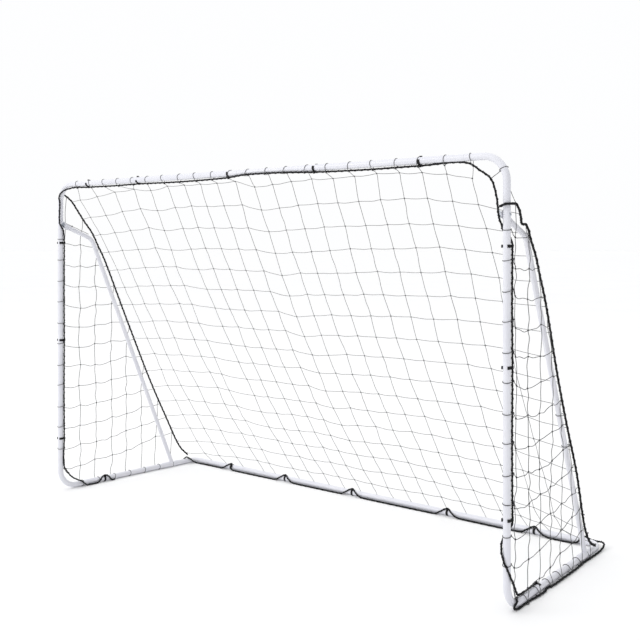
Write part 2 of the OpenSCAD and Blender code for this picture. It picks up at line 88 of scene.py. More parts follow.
def on_side(side, a, b, z):
    """Place on a side frame: side is -1 or 1, a runs back along the rail, b inwards and z up."""
    return np.array([
        side * (HALF_W - a * math.sin(SPLAY) - b * math.cos(SPLAY)),
        MOUTH_Y + a * math.cos(SPLAY) - b * math.sin(SPLAY),
        z,
    ])


def side_run(side, points):
    """Points (a, b, z) of a side frame as places."""
    return [on_side(side, *p) for p in points]


def mouth_run(points):
    """Points (x, y from the crossbar, z) as places."""
    return [np.array([x, MOUTH_Y + y, z]) for x, y, z in points]


def rear_run(points):
    """Points (x, y from the rear bar, z) as places."""
    return [np.array([x, MOUTH_Y + DEPTH + y, z]) for x, y, z in points]


# ---------------------------------------------------------------- camera

CAMERA_AT = (2.6905, -3.1421, 1.1884)
CAMERA_TURN = 39.70
HORIZON_ABOVE_MIDDLE = 0.117


def make_camera():
    """The photograph's view: a level camera, with the goal below its horizon."""
    data = bpy.data.cameras.new("camera")
    data.lens = 53.26
    data.sensor_width = 36
    data.shift_y = -HORIZON_ABOVE_MIDDLE
    data.clip_start = 0.05
    data.clip_end = 200
    camera = bpy.data.objects.new("camera", data)
    camera.location = CAMERA_AT
    camera.rotation_euler = (math.radians(90), 0, math.radians(CAMERA_TURN))
    bpy.context.scene.collection.objects.link(camera)
    bpy.context.scene.camera = camera


make_camera()


# ---------------------------------------------------------------- routes of the ropes

# On the side frames the points are (a, b, z), on the crossbar and the rear bar (x, y from the bar, z).
# They are the routes of part.scad.
LEFT_FOOT_ROUTE = [
    (0.3, 0.02, 0.004), (0.281, 0.018, 0.005), (0.268, 0.015, 0.023), (0.257, 0.009, 0.0298),
    (0.239, 0.009, 0.0298), (0.228, 0.013, 0.025), (0.214, 0.018, 0.012), (0.199, 0.019, 0.005),
    (0.15, 0.019, 0.004), (0.137, 0.0185, 0.005), (0.124, 0.0175, 0.014), (0.112, 0.016, 0.026),
    (0.084, 0.012, 0.04), (0.056, 0.011, 0.058), (0.028, 0.012, 0.09),
]
LEFT_POST_ROUTE = [
    (0.011, 0.0135, 0.12), (0.0116, 0.0139, 0.253), (0.011, 0.013, 0.49), (0.0116, 0.0139, 0.729),
    (0.011, 0.013, 0.96), (0.0116, 0.0139, 1.192), (0.0116, 0.0139, 1.206), (0.002, 0.019, 1.262),
    (-0.016, 0.019, 1.29), (-0.015, 0.014, 1.34), (-0.012, 0.012, 1.385),
]
CROSSBAR_ROUTE = [
    (-1.193, -0.018, 1.424), (-1.165, -0.018, 1.446), (-1.105, -0.008, 1.461), (-0.99, 0, 1.461),
    (-0.8, 0.003, 1.46), (-0.627, 0.005, 1.4617), (-0.35, 0.002, 1.459), (-0.054, -0.0073, 1.4626),
    (0.048, -0.015, 1.469), (0.24, -0.015, 1.468), (0.402, -0.0073, 1.4626), (0.64, 0, 1.46),
    (0.874, -0.0031, 1.4612), (1.062, -0.001, 1.461), (1.11, -0.001, 1.434), (1.152, -0.004, 1.404),
    (1.177, -0.012, 1.345), (1.1865, -0.019, 1.3), (1.189, -0.017, 1.276), (1.193, -0.0085, 1.254),
    (1.19, 0.004, 1.24), (1.198, 0.016, 1.224), (1.212, 0.0175, 1.208),
]
RIGHT_POST_ROUTE = [
    (0.011, -0.0142, 1.192), (0.011, -0.0142, 1.178), (0.011, -0.013, 0.99),
    (0.011, -0.0142, 0.794), (0.011, -0.013, 0.55), (0.011, -0.0142, 0.311),
    (0.011, -0.0142, 0.297), (0.017, -0.003, 0.275), (0.013, 0.012, 0.252), (-0.001, 0.0175, 0.228),
    (-0.013, 0.012, 0.198), (-0.017, -0.001, 0.165), (-0.0145, -0.0085, 0.15),
    (-0.004, -0.0173, 0.118), (0.008, -0.016, 0.105), (0.088, 0.004, 0.037), (0.096, 0.004, 0.033),
    (0.202, 0.003, 0.0326), (0.231, 0.008, 0.0308), (0.239, 0.009, 0.0298), (0.257, 0.009, 0.0298),
]
RIGHT_RAIL_ROUTE = [
    (0.084, 0.003, 0.031), (0.072, -0.001, 0.0318), (0.06, -0.0065, 0.0345),
    (0.05, -0.0125, 0.0345), (0.041, -0.0165, 0.032), (0.033, -0.0168, 0.027),
    (0.03, -0.0125, 0.019), (0.032, -0.01, 0.012), (0.042, -0.01, 0.006), (0.06, -0.013, 0.004),
    (0.14, -0.014, 0.004), (0.2, -0.02, 0.005), (0.262, -0.02, 0.004), (0.286, -0.014, 0.004),
    (0.33, -0.021, 0.005), (0.42, -0.023, 0.006), (0.56, -0.021, 0.004), (0.606, -0.018, 0.004),
    (0.77, -0.021, 0.005), (0.828, -0.019, 0.012), (0.85, -0.009, 0.018),
]
LEFT_RAIL_ROUTE = [
    (0.808, 0.03, 0.008), (0.79, 0.014, 0.026), (0.782, -0.002, 0.033), (0.772, -0.016, 0.022),
    (0.754, -0.02, 0.006), (0.7, -0.021, 0.004), (0.33, -0.019, 0.004), (0.29, -0.018, 0.008),
]
LEFT_SEAM_ROUTE = [
    (0.014, 0.013, 1.43), (0.044, 0.004, 1.414), (0.064, 0.002, 1.397), (0.1, 0.002, 1.348),
    (0.134, 0.002, 1.302), (0.176, 0.002, 1.25), (0.214, 0.002, 1.18), (0.246, 0.002, 1.122),
    (0.382, 0, 0.815), (0.534, -0.002, 0.48), (0.634, -0.003, 0.283), (0.734, -0.002, 0.097),
    (0.786, -0.001, 0.046),
]
RIGHT_SEAM_ROUTE = [
    (-0.026, 0.014, 1.312), (-0.023, 0.004, 1.317), (-0.019, -0.006, 1.32), (-0.012, -0.015, 1.321),
    (0, -0.018, 1.321), (0.03, -0.017, 1.322), (0.05, -0.017, 1.31), (0.066, -0.017, 1.288),
    (0.074, -0.016, 1.266), (0.084, -0.014, 1.258), (0.118, -0.012, 1.256), (0.14, -0.012, 1.238),
    (0.16, -0.01, 1.21), (0.206, -0.009, 1.15), (0.24, -0.008, 1.086), (0.286, -0.008, 0.998),
    (0.398, -0.009, 0.712), (0.476, -0.01, 0.536), (0.562, -0.012, 0.352), (0.646, -0.014, 0.118),
    (0.7, -0.014, 0.056), (0.746, -0.0145, 0.034),
]
REAR_CLIPS = (-0.869, -0.486, -0.06, 0.467, 0.885)
LONG_WAY = 0.058
SHORT_WAY = 0.02


def clip_hump(x, way):
    """The ground rope over a clip of the rear bar; way is how far before the clip it starts to rise."""
    return [
        (x + way, -0.019, 0.005), (x + way / 2, -0.017, 0.018), (x + 0.007, -0.0068, 0.031),
        (x - 0.007, -0.0068, 0.031), (x - 0.029, -0.016, 0.019), (x - 0.056, -0.019, 0.005),
    ]


REAR_BAR_ROUTE = [
    (1.124, 0.018, 0.019), (1.104, 0.013, 0.027), (1.096, 0, 0.032), (1.088, -0.013, 0.027),
    (1.08, -0.018, 0.014), (1.06, -0.019, 0.005),
]
for clip in REAR_CLIPS[:0:-1]:
    REAR_BAR_ROUTE += clip_hump(clip, LONG_WAY)
REAR_BAR_ROUTE += clip_hump(REAR_CLIPS[0], SHORT_WAY) + [(-1.06, -0.019, 0.004)]


def mouth_rope_route():
    """From the left rail up the left post, along the crossbar, down the right post to the right rail."""
    return (
        side_run(-1, LEFT_FOOT_ROUTE) + side_run(-1, LEFT_POST_ROUTE)
        + mouth_run(CROSSBAR_ROUTE) + side_run(1, RIGHT_POST_ROUTE)
    )


def ground_rope_route():
    """Round the right bottom corner, along the right rail, the rear bar and the left rail."""
    return side_run(1, RIGHT_RAIL_ROUTE) + rear_run(REAR_BAR_ROUTE) + side_run(-1, LEFT_RAIL_ROUTE)


# ---------------------------------------------------------------- lines and sweeps

LOOP_STEP = 0.003
POINTS_OF_CIRCLE = 40
COIL_TURNS = 1.6
COIL_R = 0.0021
COIL_PITCH = 0.0022


def smooth_line(points, step):
    """Points about step apart on a smooth line through the given ones (centripetal Catmull-Rom)."""
    p = np.array(points, float)
    p = np.vstack([2 * p[0] - p[1], p, 2 * p[-1] - p[-2]])
    line = []
    for p0, p1, p2, p3 in zip(p[:-3], p[1:-2], p[2:-1], p[3:]):
        t1 = np.linalg.norm(p1 - p0) ** 0.5
        t2 = t1 + np.linalg.norm(p2 - p1) ** 0.5
        t3 = t2 + np.linalg.norm(p3 - p2) ** 0.5
        n = max(1, round(np.linalg.norm(p2 - p1) / step))
        t = np.linspace(t1, t2, n, endpoint=False)[:, None]
        a1 = (t1 - t) / t1 * p0 + t / t1 * p1
        a2 = (t2 - t) / (t2 - t1) * p1 + (t - t1) / (t2 - t1) * p2
        a3 = (t3 - t) / (t3 - t2) * p2 + (t - t2) / (t3 - t2) * p3
        b1 = (t2 - t) / t2 * a1 + t / t2 * a2
        b2 = (t3 - t) / (t3 - t1) * a2 + (t - t1) / (t3 - t1) * a3
        line.append((t2 - t) / (t2 - t1) * b1 + (t - t1) / (t2 - t1) * b2)
    line.append(p[-2:-1])
    return np.vstack(line)


def unit(v):
    return v / np.linalg.norm(v)


def carried_frames(line, closed):
    """Directions along the line and across it, the second carried along without twist."""
    if closed:
        ahead = np.roll(line, -1, axis=0) - np.roll(line, 1, axis=0)
    else:
        ahead = np.gradient(line, axis=0)
    ahead = ahead / np.linalg.norm(ahead, axis=1)[:, None]
    helper = np.array([0, 0, 1.0]) if abs(ahead[0][2]) < 0.8 else np.array([0, 1.0, 0])
    across = unit(np.cross(ahead[0], helper))
    sides = np.empty_like(line)
    for i, direction in enumerate(ahead):
        across = unit(across - across.dot(direction) * direction)
        sides[i] = across
    return ahead, sides


class Strands:
    """Swept tubes that are joined in one mesh."""

    def __init__(self):
        self.verts = []
        self.faces = []
        self.count = 0

    def add(self, line, radius, sides=6, closed=False, lobes=0, lobe_depth=0.0, lay=0.0):
        """One tube. With lobes its section is that of twisted strands, one turn in each lay."""
        line = np.asarray(line, float)
        n = len(line)
        ahead, across = carried_frames(line, closed)
        other = np.cross(ahead, across)
        run = np.concatenate([[0], np.cumsum(np.linalg.norm(np.diff(line, axis=0), axis=1))])
        twist = 2 * math.pi * run / lay if lay else np.zeros(n)
        spoke = 2 * math.pi * np.arange(sides) / sides
        r = radius * (1 - lobe_depth * (0.5 - 0.5 * np.cos(lobes * spoke)))
        angle = spoke[None, :] + twist[:, None]
        ring = (
            line[:, None, :]
            + (r * np.cos(angle))[:, :, None] * across[:, None, :]
            + (r * np.sin(angle))[:, :, None] * other[:, None, :]
        )
        self.verts.append(ring.reshape(-1, 3))
        first = np.arange(n if closed else n - 1)
        second = (first + 1) % n
        k = np.arange(sides)
        k_next = (k + 1) % sides
        quads = np.stack([
            first[:, None] * sides + k, first[:, None] * sides + k_next,
            second[:, None] * sides + k_next, second[:, None] * sides + k,
        ], axis=-1).reshape(-1, 4) + self.count
        self.faces.extend(quads.tolist())
        if not closed:
            self.faces.append([self.count + int(i) for i in k[::-1]])
            self.faces.append([self.count + (n - 1) * sides + int(i) for i in k])
        self.count += n * sides

    def make(self, name, material, nodes=()):
        """The object, riding on the frame; nodes are the CAD nodes that it stands for."""
        mesh = bpy.data.meshes.new(name)
        mesh.from_pydata(np.vstack(self.verts).tolist(), [], self.faces)
        mesh.shade_smooth()
        mesh.materials.append(material)
        piece = bpy.data.objects.new(name, mesh)
        bpy.context.scene.collection.objects.link(piece)
        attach(piece, "root")
        if nodes:
            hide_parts(*nodes)


def loop_round(origin, u, v, circles):
    """Closed line pulled tight round circles (centre along u, along v, radius) in the plane u, v."""
    points = []
    for cu, cv, r in circles:
        for t in np.linspace(0, 2 * math.pi, POINTS_OF_CIRCLE, endpoint=False):
            points.append((cu + r * math.cos(t), cv + r * math.sin(t)))
    points.sort()

    def chain(items):
        """One side of the hull of the sorted points."""
        out = []
        for p in items:
            while len(out) > 1 and (
                (out[-1][0] - out[-2][0]) * (p[1] - out[-2][1])
                <= (out[-1][1] - out[-2][1]) * (p[0] - out[-2][0])
            ):
                out.pop()
            out.append(p)
        return out[:-1]

    outline = np.array(chain(points) + chain(points[::-1]))
    outline = np.vstack([outline, outline[:1]])
    run = np.concatenate([[0], np.cumsum(np.linalg.norm(np.diff(outline, axis=0), axis=1))])
    at = np.linspace(0, run[-1], max(8, round(run[-1] / LOOP_STEP)), endpoint=False)
    flat_u = np.interp(at, run, outline[:, 0])
    flat_v = np.interp(at, run, outline[:, 1])
    return origin + flat_u[:, None] * u + flat_v[:, None] * v


def coil(at, axis):
    """Line of a small coil round an axis: the twine's turns in a knot."""
    axis = unit(np.asarray(axis, float))
    helper = np.array([0, 0, 1.0]) if abs(axis[2]) < 0.8 else np.array([0, 1.0, 0])
    u = unit(np.cross(axis, helper))
    v = np.cross(axis, u)
    turn = np.linspace(-COIL_TURNS / 2, COIL_TURNS / 2, round(9 * COIL_TURNS) + 1)
    angle = 2 * math.pi * turn + rng.uniform(0, 6.28)
    return (
        at + (turn * COIL_PITCH)[:, None] * axis
        + COIL_R * np.cos(angle)[:, None] * u + COIL_R * np.sin(angle)[:, None] * v
    )


# ---------------------------------------------------------------- materials


class Nodes:
    """A material's node tree with its principled shader."""

    def __init__(self, name):
        self.material = bpy.data.materials.new(name)
        self.material.use_nodes = True
        self.tree = self.material.node_tree
        self.shader = self.tree.nodes["Principled BSDF"]
        self.place = self.new("ShaderNodeTexCoord").outputs["Object"]

    def new(self, kind, **settings):
        node = self.tree.nodes.new(kind)
        for key, value in settings.items():
            setattr(node, key, value)
        return node

    def link(self, source, target):
        self.tree.links.new(source, target)

    def noise(self, scale, detail=3.0, roughness=0.5, stretch=(1, 1, 1)):
        mapping = self.new("ShaderNodeMapping")
        mapping.inputs["Scale"].default_value = stretch
        self.link(self.place, mapping.inputs["Vector"])
        texture = self.new("ShaderNodeTexNoise")
        texture.inputs["Scale"].default_value = scale
        texture.inputs["Detail"].default_value = detail
        texture.inputs["Roughness"].default_value = roughness
        self.link(mapping.outputs["Vector"], texture.inputs["Vector"])
        return texture.outputs["Fac"]

    def ramp(self, value, stops):
        """Colours by value; stops are (place, colour)."""
        node = self.new("ShaderNodeValToRGB")
        elements = node.color_ramp.elements
        while len(elements) < len(stops):
            elements.new(0.5)
        for element, (place, colour) in zip(elements, stops):
            element.position = place
            element.color = (*colour, 1)
        self.link(value, node.inputs["Fac"])
        return node.outputs["Color"]

    def span(self, value, low, high):
        """value from 0.3..0.7 to low..high."""
        node = self.new("ShaderNodeMapRange")
        node.inputs["From Min"].default_value = 0.3
        node.inputs["From Max"].default_value = 0.7
        node.inputs["To Min"].default_value = low
        node.inputs["To Max"].default_value = high
        self.link(value, node.inputs["Value"])
        return node.outputs["Result"]

    def mix(self, factor, a, b):
        """Colour a, going over to b by the factor."""
        node = self.new("ShaderNodeMix", data_type="RGBA")
        for socket, value in ((0, factor), (6, a), (7, b)):
            if hasattr(value, "links"):
                self.link(value, node.inputs[socket])
            elif socket:
                node.inputs[socket].default_value = (*value, 1)
            else:
                node.inputs[socket].default_value = value
        return node.outputs[2]

    def bump(self, heights):
        """Bumps one over another; heights are (value, distance in metres, strength)."""
        normal = None
        for value, distance, strength in heights:
            node = self.new("ShaderNodeBump")
            node.inputs["Distance"].default_value = distance
            node.inputs["Strength"].default_value = strength
            self.link(value, node.inputs["Height"])
            if normal is not None:
                self.link(normal, node.inputs["Normal"])
            normal = node.outputs["Normal"]
        self.link(normal, self.shader.inputs["Normal"])

    def set(self, **inputs):
        """Sets or links the shader's sockets; an underscore stands for a space."""
        for name, value in inputs.items():
            socket = self.shader.inputs[name.replace("_", " ")]
            if hasattr(value, "links"):
                self.link(value, socket)
            else:
                socket.default_value = value


def white_coat():
    """Powder coat: white with a faint lavender cast, orange peel, a little dust and handling marks."""
    m = Nodes("white_coat")
    drift = m.noise(3.0, detail=2)
    tint = m.ramp(drift, [(0.35, (0.735, 0.740, 0.800)), (0.65, (0.770, 0.774, 0.825))])
    scuffs = m.ramp(m.noise(46, detail=6, roughness=0.7), [(0.60, (0, 0, 0)), (0.78, (1, 1, 1))])
    m.set(Base_Color=m.mix(scuffs, tint, (0.66, 0.665, 0.69)))
    m.set(Roughness=m.span(m.noise(24, detail=4), 0.30, 0.46))
    m.shader.inputs["Coat Weight"].default_value = 0.25
    m.shader.inputs["Coat Roughness"].default_value = 0.22
    peel = m.noise(620, detail=2)
    m.bump([(peel, 0.00008, 0.5), (m.noise(90, detail=3), 0.00012, 0.35)])
    return m.material


def bright_zinc():
    """Zinc-plated steel: bluish, with a fine spangle and dulled patches."""
    m = Nodes("bright_zinc")
    spangle = m.noise(260, detail=4)
    m.set(Metallic=1.0)
    m.set(Base_Color=m.ramp(spangle, [(0.35, (0.42, 0.45, 0.50)), (0.65, (0.62, 0.65, 0.70))]))
    m.set(Roughness=m.span(m.noise(420, detail=3), 0.26, 0.48))
    m.bump([(m.noise(900, detail=2), 0.00004, 0.5)])
    return m.material


def spring_steel(name, light, dark):
    """Bare spring steel with drawn lines along X and faint oil stains."""
    m = Nodes(name)
    lines = m.noise(300, detail=4, stretch=(0.15, 1, 1))
    m.set(Metallic=1.0)
    m.set(Base_Color=m.ramp(lines, [(0.35, dark), (0.65, light)]))
    m.set(Roughness=m.span(m.noise(150, detail=4), 0.24, 0.42))
    m.bump([(lines, 0.00003, 0.6)])
    return m.material


def clip_plastic():
    """Moulded black plastic with a fine spark texture and paler flow marks."""
    m = Nodes("clip_plastic")
    flow = m.noise(70, detail=4, stretch=(1, 1, 0.4))
    m.set(Base_Color=m.ramp(flow, [(0.35, (0.003, 0.003, 0.0035)), (0.7, (0.009, 0.009, 0.010))]))
    m.set(Roughness=m.span(m.noise(160, detail=3), 0.42, 0.62))
    m.shader.inputs["Specular IOR Level"].default_value = 0.25
    m.bump([(m.noise(1500, detail=2), 0.00005, 0.6)])
    return m.material


def rope_fibre():
    """Black polypropylene rope: fine filaments along the strands, dusty and worn in places."""
    m = Nodes("rope_fibre")
    filaments = m.noise(1300, detail=4, roughness=0.7)
    dust = m.ramp(m.noise(9, detail=5), [(0.55, (0, 0, 0)), (0.80, (0.4, 0.4, 0.4))])
    black = m.ramp(filaments, [(0.35, (0.002, 0.002, 0.0025)), (0.7, (0.012, 0.012, 0.014))])
    m.set(Base_Color=m.mix(dust, black, (0.022, 0.022, 0.024)))
    m.set(Roughness=m.span(filaments, 0.62, 0.88))
    m.shader.inputs["Specular IOR Level"].default_value = 0.25
    m.shader.inputs["Sheen Weight"].default_value = 0.04
    m.shader.inputs["Sheen Roughness"].default_value = 0.5
    m.bump([(filaments, 0.00025, 0.7)])
    return m.material


def net_twine(name, dark, light, worn):
    """Braided twine, a little paler where it is worn."""
    m = Nodes(name)
    braid = m.noise(1700, detail=3)
    wear = m.ramp(m.noise(7, detail=4), [(0.45, (0, 0, 0)), (0.8, (1, 1, 1))])
    m.set(Base_Color=m.mix(wear, m.ramp(braid, [(0.35, dark), (0.7, light)]), worn))
    m.set(Roughness=m.span(braid, 0.6, 0.85))
    m.shader.inputs["Sheen Weight"].default_value = 0.1
    m.bump([(braid, 0.00015, 0.7)])
    return m.material


ROPE = rope_fibre()
TWINE = net_twine("net_twine", (0.020, 0.020, 0.021), (0.055, 0.055, 0.057), (0.075, 0.075, 0.077))
PALE_TWINE = net_twine("net_twine_pale", (0.105, 0.105, 0.11), (0.20, 0.20, 0.205), (0.24, 0.24, 0.24))


def coat_frame():
    """Gives each CAD node its finish."""
    coat = white_coat()
    zinc = bright_zinc()
    button = spring_steel("button_steel", (0.62, 0.62, 0.64), (0.40, 0.40, 0.42))
    leaf = spring_steel("leaf_steel", (0.34, 0.34, 0.36), (0.20, 0.20, 0.22))
    plastic = clip_plastic()
    finishes = (
        (("corner_bolt", "bolt_washers", "wing_nut"), zinc),
        (("tee_button", "crossbar_button", "rear_bar_button"), button),
        (("button_spring_roots",), leaf),
        (("crossbar_clips", "post_clips", "rear_bar_clips", "rail_clips"), plastic),
        (("mouth_rope", "ground_rope", "seam_rope"), ROPE),
        (("net_",), TWINE),
    )
    for name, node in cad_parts.items():
        found = [material for starts, material in finishes if name.startswith(starts)]
        node.data.materials.clear()
        node.data.materials.append(found[0] if found else coat)


coat_frame()


# ---------------------------------------------------------------- ropes

ROPE_LAY = 0.024
ROPE_STEP = 0.0018
ROPE_FULL_R = 0.0037
SEAM_ROPE_R = 0.0044
LASH_R = 0.0010
LASH_PITCH = 0.029
LASH_STEP = 0.003
LASH_GAP = 0.0003


def above_ground(line, radius):
    """The line, lifted where a strand of that radius would reach below the ground."""
    line[:, 2] = np.maximum(line[:, 2], radius + 0.0001)
    return line


def lash(strands, route, radius):
    """The twine that sews the net to a rope: a long helix round it."""
    line = smooth_line(route, LASH_STEP)
    ahead, across = carried_frames(line, False)
    other = np.cross(ahead, across)
    turn = 2 * math.pi * LASH_STEP * np.arange(len(line)) / LASH_PITCH
    reach = radius + LASH_GAP
    helix = line + reach * (np.cos(turn)[:, None] * across + np.sin(turn)[:, None] * other)
    strands.add(above_ground(helix, LASH_R), LASH_R, sides=5)


def make_ropes():
    """Three twisted strands along each route, with the lashing round them."""
    lashing = Strands()
    for name, node, route, radius in (
        ("border_rope_mouth", "mouth_rope", mouth_rope_route(), ROPE_FULL_R),
        ("border_rope_ground", "ground_rope", ground_rope_route(), ROPE_FULL_R),
        ("border_rope_seam_left", "seam_rope_left", side_run(-1, LEFT_SEAM_ROUTE), SEAM_ROPE_R),
        ("border_rope_seam_right", "seam_rope_right", side_run(1, RIGHT_SEAM_ROUTE), SEAM_ROPE_R),
    ):
        rope = Strands()
        line = above_ground(smooth_line(route, ROPE_STEP), radius)
        rope.add(line, radius, sides=12, lobes=3, lobe_depth=0.22, lay=ROPE_LAY)
        rope.make(name, ROPE, [node])
        lash(lashing, route, radius)
    lashing.make("rope_lashing", ROPE)


make_ropes()


# ---------------------------------------------------------------- the net's common parts

LOOP_R = TUBE_R + TWINE_R + 0.0001
ROPE_LOOP_R = ROPE_FULL_R + TWINE_R
BACK_TWINE_R = 0.00103
BACK_KNOT_R = 0.0009
KNOT_R = 0.00125
TWINE_STEP = 0.009
STRAIGHT_UNDER = 0.03


def jitter(size):
    return np.array([rng.uniform(-size, size) for _ in range(3)])


def add_twine(strands, knots, sag, wave, radius=TWINE_R):
    """A twine through the knots; between two knots it sags and waves a little."""
    points = [knots[0]]
    for a, b in zip(knots[:-1], knots[1:]):
        span = np.linalg.norm(b - a)
        if span > STRAIGHT_UNDER:
            drop = sag * rng.uniform(0.5, 1.4) * span / 0.1
            for t in (0.33, 0.67):
                points.append(a + (b - a) * t + jitter(wave) - np.array([0, 0, drop]))
        points.append(b)
    strands.add(smooth_line(points, TWINE_STEP), radius)


def add_knot(strands, at, axis, radius=KNOT_R):
    strands.add(coil(at, axis), radius)


def seam_line(side):
    """The rope in the corner of the net, as points on the side frame, from the top down."""
    return np.array(LEFT_SEAM_ROUTE if side < 0 else RIGHT_SEAM_ROUTE[5:], float)


# ---------------------------------------------------------------- the back of the net

SLOPE_L = math.hypot(BAR_Z - RAIL_Z, DEPTH)
DOWN = np.array([0, DEPTH, RAIL_Z - BAR_Z]) / SLOPE_L
OUT = np.array([0, BAR_Z - RAIL_Z, DEPTH]) / SLOPE_L
BAR_AT = np.array([0, MOUTH_Y, BAR_Z])

BACK_LOOPS = 22
BACK_PITCH = 0.1025
BACK_FIRST_X = -1.074
BACK_COLUMNS = 21
# Column 3 hangs from the fourth and fifth loops together
SHARED_COLUMN = 3
# How far the columns at the left end are pulled aside, at the top and lower down
COLUMN_PULLS = {0: (-0.045, -0.045), 1: (0, -0.03), 2: (0.04, 0), 3: (0.02, 0), 4: (-0.02, -0.06)}
BACK_ROWS = 17
ROW_PITCH = 0.0973
FIRST_ROW = 0.044
SAG = 0.055
TOP_LIFT = 0.014
ROPE_CLEAR = 0.015
FOOT_GAP = 0.001
FOOT_BELOW = 0.004
# The angles round the rear bar, from level, at which a column lies on it
OVER_BAR = (1.05, 0.7, 0.35, 0.05)


def seam_on_slope(side):
    """The corner rope seen on the slope: down the slope, out of it and x, sorted from the top."""
    places = np.array([on_side(side, *p) for p in seam_line(side)]) - BAR_AT
    rows = np.stack([places @ DOWN, places @ OUT, places[:, 0]], axis=1)
    return rows[np.argsort(rows[:, 0])]


SEAMS = {-1: seam_on_slope(-1), 1: seam_on_slope(1)}


def smoothstep(x, low, high):
    t = min(1.0, max(0.0, (x - low) / (high - low)))
    return t * t * (3 - 2 * t)


def edge_x(side, s):
    """Where the corner rope is, at a distance down the slope."""
    return float(np.interp(s, SEAMS[side][:, 0], SEAMS[side][:, 2]))


def lift(x, s):
    """How far the net stands out of the straight slope: up on the braces, sagging between them."""
    side = -1 if x < 0 else 1
    edge = float(np.interp(s, SEAMS[side][:, 0], SEAMS[side][:, 1]))
    share = min(1.0, abs(x) / HALF_W) ** 5
    along = min(1.0, max(0.0, s / SLOPE_L))
    hang = TOP_LIFT - (SAG + TOP_LIFT) * math.sin(math.pi * along) ** 0.9
    return hang * (1 - share) + edge * share


def on_slope(x, s, extra=0.0):
    """Place on the back of the net, s down the slope."""
    return BAR_AT + np.array([x, 0, 0]) + s * DOWN + (lift(x, s) + extra) * OUT


def loop_x(k):
    return BACK_FIRST_X + k * BACK_PITCH


def column_loops(i):
    """The loops on the crossbar that a column hangs from."""
    if i == SHARED_COLUMN:
        return (i, i + 1)
    return (i,) if i < SHARED_COLUMN else (i + 1,)


def column_x(i, s):
    """Columns draw together down the net; some at the left end are pulled aside."""
    loops = column_loops(i)
    top = sum(loop_x(k) for k in loops) / len(loops)
    t = min(1.0, s / 0.8)
    high, low = COLUMN_PULLS.get(i, (0, 0))
    return 0.4 + (top - 0.4) * (1 - 0.06 * t) + high * (1 - t) + low * t


def row_s(j, x):
    """Rows run level, but step down at two folds that hang from clips, and droop to the ropes."""
    s = FIRST_ROW + j * ROW_PITCH
    drop = 0.0
    if x > 0.015:
        drop += 0.026 * math.exp(-(x - 0.015) / 0.16)
    fold_x = -0.63 + 0.13 * smoothstep(s, 0.35, 0.5)
    if x > fold_x:
        drop += 0.020 * math.exp(-(x - fold_x) / 0.11)
    drop += 0.040 * max(0.0, (-x - 0.65) / 0.45) ** 1.6
    drop += 0.035 * max(0.0, (x - 0.86) / 0.27) ** 1.4
    drop += 0.004 * math.sin(5.1 * x + 2.3 * s) + 0.002 * math.sin(17 * x - 9 * s)
    return s + drop * (1 - 0.5 * smoothstep(s, 1.2, 1.6))


def crossbar_rope_at(x):
    """Where the rope hangs under the crossbar, as (y, z) from the bar's centre."""
    straight = np.array([p for p in CROSSBAR_ROUTE if abs(p[0]) < 1.12])
    y = np.interp(x, straight[:, 0], straight[:, 1])
    z = np.interp(x, straight[:, 0], straight[:, 2])
    return y, z - BAR_Z


